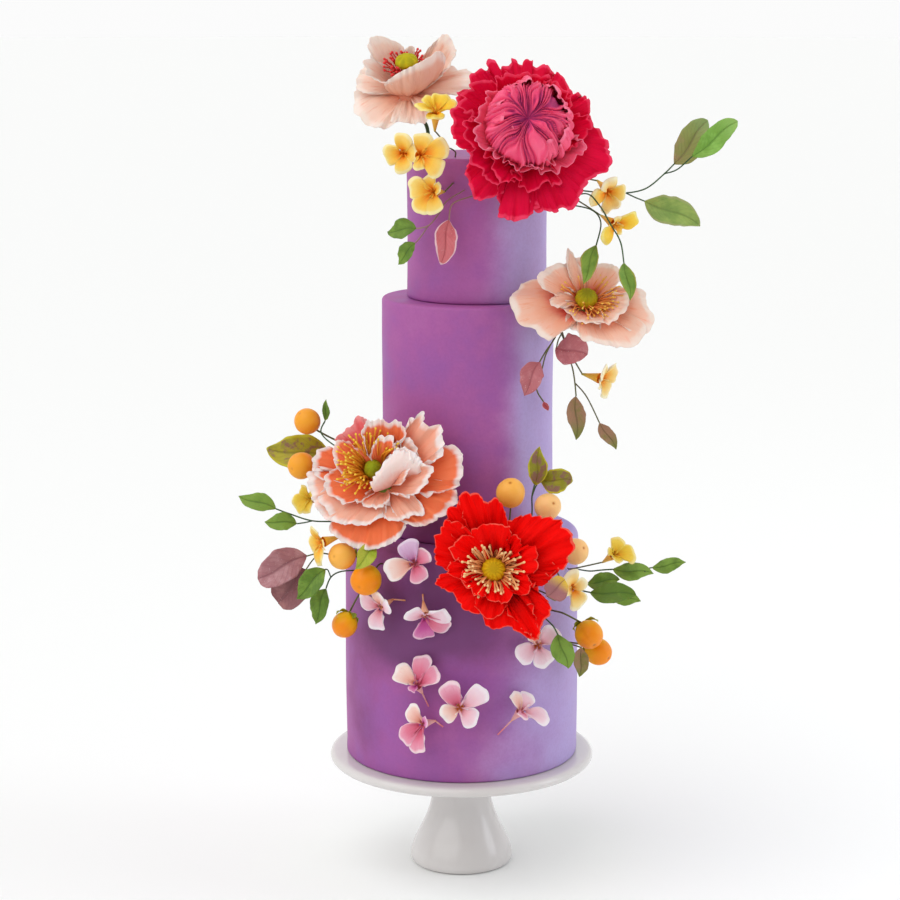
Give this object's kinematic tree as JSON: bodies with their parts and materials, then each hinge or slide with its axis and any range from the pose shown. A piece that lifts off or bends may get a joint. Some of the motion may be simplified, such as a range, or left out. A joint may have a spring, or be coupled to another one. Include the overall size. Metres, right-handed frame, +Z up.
{
  "type": "tiered wedding cake",
  "caption": "Tall tiered cake in mottled violet icing on a white pedestal stand, dressed at the front with wired sugar peonies, poppies, small blossoms, kumquats and leaves.",
  "frame": {"origin": "centre of the stand's foot, on the ground", "axes": "+Z up along the axis of the stand and the bottom tier; -Y is the dressed front; +X is the right-hand side seen from the front"},
  "size_m": [0.4176, 0.2658, 0.7222],
  "materials": {
    "ceramic": "polished",
    "icing": "matte",
    "sugar_blush": "matte",
    "sugar_magenta": "matte",
    "sugar_coral": "matte",
    "sugar_red": "matte",
    "sugar_yellow": "matte",
    "sugar_pink": "matte",
    "kumquat": "satin",
    "leaf_green": "satin",
    "leaf_plum": "satin"
  },
  "bodies": {
    "root": {"cake_stand": "ceramic", "tier_bottom": "icing", "tier_middle": "icing", "tier_top": "icing", "peony_blush": "sugar_blush", "poppy_blush": "sugar_blush", "peony_magenta": "sugar_magenta", "peony_coral": "sugar_coral", "poppy_red": "sugar_red", "blossom_top_1": "sugar_yellow", "blossom_top_2": "sugar_yellow", "blossom_top_3": "sugar_yellow", "blossom_top_4": "sugar_yellow", "blossom_right_1": "sugar_yellow", "blossom_right_2": "sugar_yellow", "blossom_middle": "sugar_yellow", "blossom_left_1": "sugar_yellow", "blossom_left_2": "sugar_yellow", "blossom_low_right": "sugar_yellow", "blossom_far_right": "sugar_yellow", "floret_1": "sugar_pink", "floret_2": "sugar_pink", "floret_3": "sugar_pink", "floret_4": "sugar_pink", "floret_5": "sugar_pink", "floret_6": "sugar_pink", "floret_7": "sugar_pink", "floret_8": "sugar_pink", "kumquat_left_1": "kumquat", "kumquat_left_2": "kumquat", "kumquat_left_3": "kumquat", "kumquat_left_4": "kumquat", "kumquat_left_5": "kumquat", "kumquat_right_1": "kumquat", "kumquat_right_2": "kumquat", "kumquat_right_3": "kumquat", "kumquat_right_4": "kumquat", "kumquat_right_5": "kumquat", "sprig_top_right": "leaf_green", "sprig_hanging_short": "leaf_green", "sprig_hanging_long": "leaf_green", "sprig_top_left": "leaf_green", "sprig_left_high": "leaf_green", "leaf_olive_left": "leaf_green", "sprig_left_long": "leaf_green", "sprig_left_green": "leaf_green", "leaf_bract_left": "leaf_green", "sprig_right_olive": "leaf_green", "sprig_right_long": "leaf_green", "sprig_right_green": "leaf_green", "leaf_green_low": "leaf_green", "leaf_olive_low": "leaf_green", "leaf_rose_top": "leaf_plum", "sprig_middle_right": "leaf_plum", "leaf_plum_middle": "leaf_plum", "tendril_middle": "leaf_plum", "sprig_left_plum": "leaf_plum", "leaf_plum_round": "leaf_plum"}
  },
  "joints": []
}
